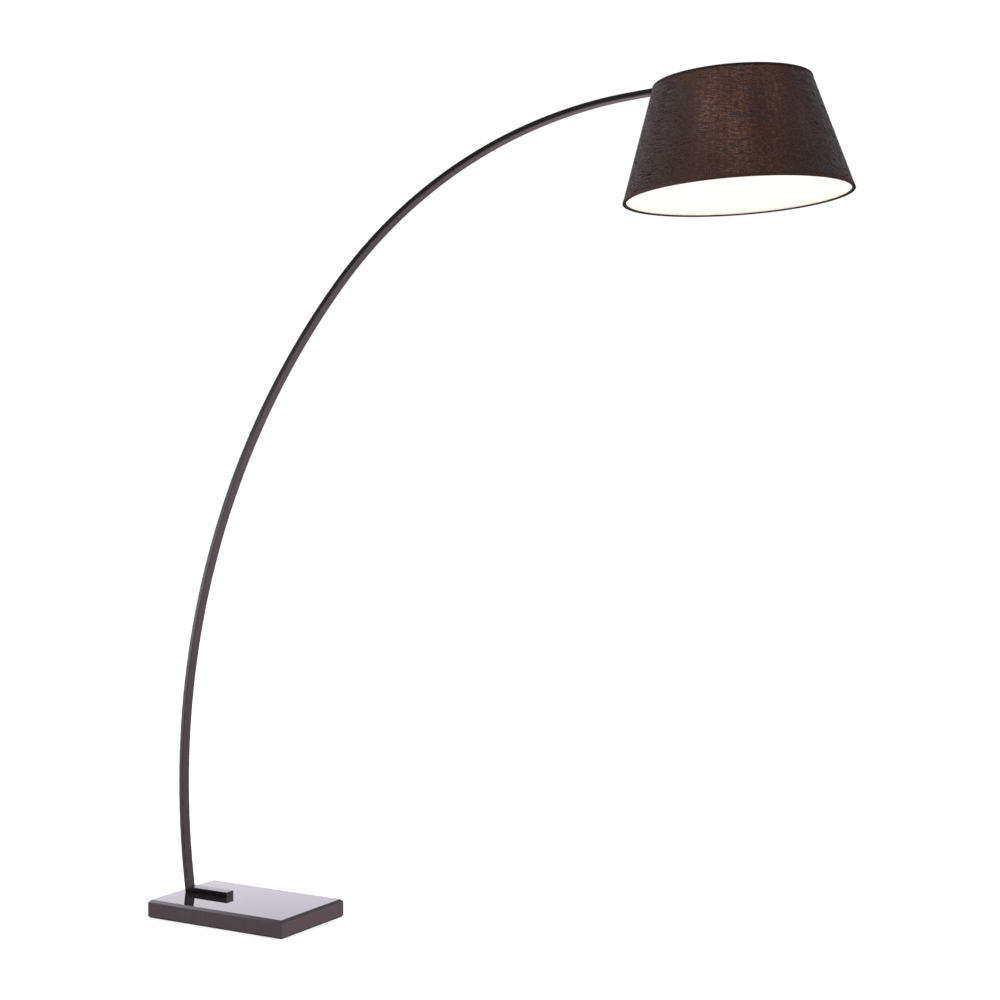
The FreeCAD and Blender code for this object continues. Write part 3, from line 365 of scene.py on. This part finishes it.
def paint_cad():
    """A procedural material for every CAD node but shade_fabric, which the cloth stands in for."""
    steel = metal("zinc_steel", colour(0.55, 0.56, 0.58), colour(0.38, 0.38, 0.40), 0.25, 0.4)
    brass = metal("brass", colour(0.72, 0.50, 0.20), colour(0.50, 0.33, 0.12), 0.22, 0.35)
    contacts = metal("contact_brass", colour(0.80, 0.60, 0.28), colour(0.60, 0.42, 0.18), 0.2, 0.3)
    aluminium = metal("bulb_aluminium", colour(0.78, 0.79, 0.80), colour(0.60, 0.61, 0.62), 0.2, 0.35)
    phenolic = moulded("black_phenolic", colour(0.012, 0.012, 0.013), colour(0.02, 0.02, 0.021), 0.3)
    rubber = moulded("black_rubber", colour(0.012, 0.012, 0.012), colour(0.022, 0.021, 0.021), 0.75)
    foam = moulded("pad_foam", colour(0.010, 0.009, 0.009), colour(0.02, 0.018, 0.018), 0.9, 500.0, 0.2)
    cap = moulded("black_plastic", colour(0.014, 0.013, 0.013), colour(0.022, 0.020, 0.021), 0.5)
    lead = moulded("lead_sheath", colour(0.02, 0.02, 0.02), colour(0.03, 0.03, 0.03), 0.45)
    ceramic = moulded("core_ceramic", colour(0.80, 0.78, 0.73), colour(0.88, 0.86, 0.82), 0.25)
    white = moulded("white_plastic", colour(0.80, 0.80, 0.79), colour(0.86, 0.86, 0.85), 0.35)
    enamel = moulded("white_wire", colour(0.75, 0.74, 0.72), colour(0.84, 0.83, 0.81), 0.3)
    bead = moulded("insulator_glass", colour(0.01, 0.01, 0.012), colour(0.015, 0.015, 0.018), 0.1)
    by_slot = {
        "polished_stone": polished_stone(), "pad_foam": foam, "zinc_steel": steel,
        "black_powder_coat": powder_coat(), "black_rubber": rubber, "black_plastic": cap,
        "lead_sheath": lead, "brass": brass, "black_phenolic": phenolic, "core_ceramic": ceramic,
        # The liner carries a painted glow in place of the bulb's light.
        "contact_brass": contacts, "white_liner": liner_with_painted_glow(),
        "white_wire": enamel, "opal_glass": opal_globe(), "white_plastic": white,
        "bulb_aluminium": aluminium, "insulator_glass": bead,
    }
    for part in frame["record"]["subparts"]:
        if part["material_slot"] in by_slot:
            paint(part["node"], by_slot[part["material_slot"]])
    top_tape = binding_tape("black_binding_top", colour(0.010, 0.0065, 0.0055), colour(0.019, 0.012, 0.010))
    # Painted glow: the lower tape's sides are painted lighter and redder than the upper's, standing in for the
    # lamp's light on them.
    low_tape_painted_glow = binding_tape("black_binding_low_painted_glow", colour(0.028, 0.016, 0.012), colour(0.042, 0.025, 0.018))
    paint("top_trim", top_tape)
    paint("bottom_trim", low_tape_painted_glow)


# --- the cloth of the shade ----------------------------------------------------------------------

SEAM_TURN = math.radians(64)
SEAM_WIDE = 0.012
SEAM_HIGH = 0.0007
SEAM_RISE = 0.0002
WAVE_HIGH = 0.00012
TURNS = 480
ROWS = 60


def cone_radius(share):
    """The cone's outer radius at this share of its height."""
    return BOTTOM_RADIUS + (TOP_RADIUS - BOTTOM_RADIUS) * share


def stretch_wave(share, turn):
    """How far the cloth's faint waves stand out: none at its held edges."""
    hold = math.sin(math.pi * share)
    wave = math.sin(7 * turn + 3.1 * share) + 0.6 * math.sin(17 * turn - 2.3 * share)
    return WAVE_HIGH * hold * wave


def make_cloth():
    """One wrapped cone of cloth with a lapped seam, its flat pattern in the UV map."""
    mesh = bmesh.new()
    uv = mesh.loops.layers.uv.new("flat")
    apex = BOTTOM_RADIUS / CONE_SINE
    lap = SEAM_WIDE / BOTTOM_RADIUS
    turns = [SEAM_TURN + 2 * math.pi * i / TURNS for i in range(TURNS)]
    turns = sorted(turns + [SEAM_TURN + SEAM_RISE, SEAM_TURN + lap, SEAM_TURN + lap * 1.02])
    outer, inner = [], []
    for turn in turns:
        raised = SEAM_HIGH if SEAM_RISE / 2 < turn - SEAM_TURN < lap * 1.01 else 0.0
        way = Vector((math.cos(turn), math.sin(turn), 0))
        column_out, column_in = [], []
        for row in range(ROWS + 1):
            share = row / ROWS
            level = Vector((0, 0, FABRIC_BOTTOM + (FABRIC_TOP - FABRIC_BOTTOM) * share))
            outside = cone_radius(share) + stretch_wave(share, turn) + raised
            inside = cone_radius(share) - CLOTH_THICK
            column_out.append(mesh.verts.new(LAMP_FRAME @ (way * outside + level)))
            column_in.append(mesh.verts.new(LAMP_FRAME @ (way * inside + level)))
        outer.append(column_out)
        inner.append(column_in)

    def flat_place(turn, row):
        """Where this point lies on the cloth as cut: a sector about the cone's apex."""
        angle = (turn - SEAM_TURN - math.pi) * CONE_SINE
        reach = apex - SLANT * row / ROWS
        return (reach * math.sin(angle), -reach * math.cos(angle))

    def face(corners, places, slot):
        made = mesh.faces.new(corners)
        made.material_index = slot
        made.smooth = True
        for loop, place in zip(made.loops, places):
            loop[uv].uv = place

    count = len(turns)
    for i in range(count):
        j = (i + 1) % count
        here, there = turns[i], turns[j] + (2 * math.pi if j == 0 else 0)
        for row in range(ROWS):
            places = [flat_place(here, row), flat_place(there, row), flat_place(there, row + 1),
                      flat_place(here, row + 1)]
            face([outer[i][row], outer[j][row], outer[j][row + 1], outer[i][row + 1]], places, 0)
            back = [places[0], places[3], places[2], places[1]]
            face([inner[i][row], inner[i][row + 1], inner[j][row + 1], inner[j][row]], back, 1)
        for row, (low, high) in ((0, (inner, outer)), (ROWS, (outer, inner))):
            near, far = flat_place(here, row), flat_place(there, row)
            face([low[i][row], low[j][row], high[j][row], high[i][row]], [near, far, far, near], 0)
    data = bpy.data.meshes.new("shade_cloth")
    mesh.to_mesh(data)
    mesh.free()
    cloth = bpy.data.objects.new("shade_cloth", data)
    bpy.context.scene.collection.objects.link(cloth)
    data.materials.append(black_linen())
    data.materials.append(fabric_back())
    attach(cloth, "shade")
    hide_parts("shade_fabric")


# --- floor, light and camera ---------------------------------------------------------------------

CAMERA_PLACE = (2.8701, -3.6381, 1.1678)
CAMERA_YAW = 30.207
CAMERA_PITCH = -1.267
CAMERA_LENS = 64.93
FLOOR_WIDE = 60


def make_floor():
    bpy.ops.mesh.primitive_plane_add(size=FLOOR_WIDE, location=(0, 0, 0))
    floor = bpy.context.object
    floor.name = "floor"
    look = Look(bpy.data.materials.new("studio_floor"))
    cloud = look.noise(look.here(), 0.8, 2.0)
    look.principled(
        Base_Color=look.mix(cloud, colour(0.64, 0.64, 0.64), colour(0.66, 0.66, 0.66)), Roughness=0.9,
        Specular_IOR_Level=0.0, Emission_Color=colour(1.0, 1.0, 1.0), Emission_Strength=0.4,
    )
    floor.data.materials.append(look.owner)
    floor.visible_glossy = False


def make_studio_light():
    """A studio: bright backdrop, softboxes overhead, at the side and low in front, dark elsewhere.

    The camera itself sees plain white all round, so that the black lamp stands out from every side.
    """
    look = Look(bpy.data.worlds.new("studio"), "OutputWorld")
    way = look.add("TexCoord").outputs["Generated"]
    parts = look.add("SeparateXYZ", {0: way})
    x, y, z = parts.outputs[0], parts.outputs[1], parts.outputs[2]

    def edge(value, low, high):
        return look.ramp(value, low, high, smooth=True)

    def band(value, up, full, fading, gone):
        return look.maths("MULTIPLY", edge(value, up, full), edge(value, gone, fading))

    floor_behind = look.mix(edge(x, -0.1, 0.45), colour(0.62, 0.51, 0.53), colour(1.17, 0.93, 1.05))
    floor_behind = look.mix(edge(x, 0.5, 0.66), floor_behind, colour(0.90, 0.69, 0.76))
    backdrop = look.mix(edge(z, 0.0, 0.2), colour(1.06, 1.0, 1.06), colour(2.28, 2.17, 2.39))
    backdrop = look.mix(edge(z, 0.20, 0.34), backdrop, colour(0.30, 0.29, 0.30))
    behind = look.mix(edge(z, -0.04, 0.02), floor_behind, backdrop)
    before = look.mix(edge(z, -0.12, 0.04), colour(0.76, 0.61, 0.66), colour(0.12, 0.10, 0.09))
    left = edge(x, -0.15, -0.45)
    low_softbox = look.maths("MULTIPLY", band(z, -0.19, -0.07, -0.055, 0.03), left)
    before = look.mix(low_softbox, before, colour(3.15, 3.1, 3.5))
    around = look.mix(edge(y, -0.35, 0.1), before, behind)
    around = look.mix(edge(z, 0.45, 0.55), around, colour(0.55, 0.53, 0.55))
    side_softbox = look.maths("MULTIPLY", band(z, 0.50, 0.60, 0.715, 0.785), edge(x, -0.46, -0.56))
    around = look.mix(side_softbox, around, colour(3.5, 3.4, 3.6))
    overhead = look.maths("MULTIPLY", edge(z, 0.80, 0.86), edge(x, -0.34, -0.14))
    whole = look.mix(overhead, around, colour(3.0, 2.93, 3.05))
    studio = look.add("Background", {"Color": whole, "Strength": 1.0})
    white = look.add("Background", {"Color": colour(1.0, 1.0, 1.0), "Strength": 1.02})
    seen = look.add("LightPath").outputs["Is Camera Ray"]
    both = look.add("MixShader", {0: seen, 1: studio.outputs[0], 2: white.outputs[0]})
    look.feed(look.output.inputs["Surface"], both.outputs[0])
    bpy.context.scene.world = look.owner


def make_bulb_light():
    """The bulb's own light, just below its globe, which moves with it."""
    data = bpy.data.lights.new("bulb_light", "POINT")
    data.energy = 0.15
    data.color = (1.0, 0.85, 0.66)
    data.shadow_soft_size = 0.033
    light = bpy.data.objects.new("bulb_light", data)
    light.location = LIGHT_PLACE
    bpy.context.scene.collection.objects.link(light)
    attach(light, "bulb")


def make_shade_key():
    """A soft spot from the front left that brings out the cloth; shiny surfaces don't mirror it."""
    data = bpy.data.lights.new("shade_key", "SPOT")
    data.energy = 235.0
    data.color = (0.98, 1.24, 1.40)
    data.spot_size = math.radians(17)
    data.spot_blend = 0.4
    data.shadow_soft_size = 0.2
    light = bpy.data.objects.new("shade_key", data)
    target = LAMP_FRAME @ Vector((0, 0, (FABRIC_TOP + FABRIC_BOTTOM) / 2))
    light.location = target + Vector((-1.96, -1.72, 0.35))
    light.rotation_euler = (target - light.location).to_track_quat("-Z", "Y").to_euler()
    light.visible_glossy = False
    bpy.context.scene.collection.objects.link(light)


def make_camera():
    data = bpy.data.cameras.new("camera")
    data.sensor_width = 36.0
    data.lens = CAMERA_LENS
    data.clip_end = 100.0
    camera = bpy.data.objects.new("camera", data)
    camera.location = CAMERA_PLACE
    camera.rotation_euler = (math.radians(90 + CAMERA_PITCH), 0, math.radians(CAMERA_YAW))
    bpy.context.scene.collection.objects.link(camera)
    bpy.context.scene.camera = camera


paint_cad()
make_cloth()
make_floor()
make_studio_light()
make_bulb_light()
make_shade_key()
make_camera()
bpy.context.scene.view_settings.view_transform = "Standard"
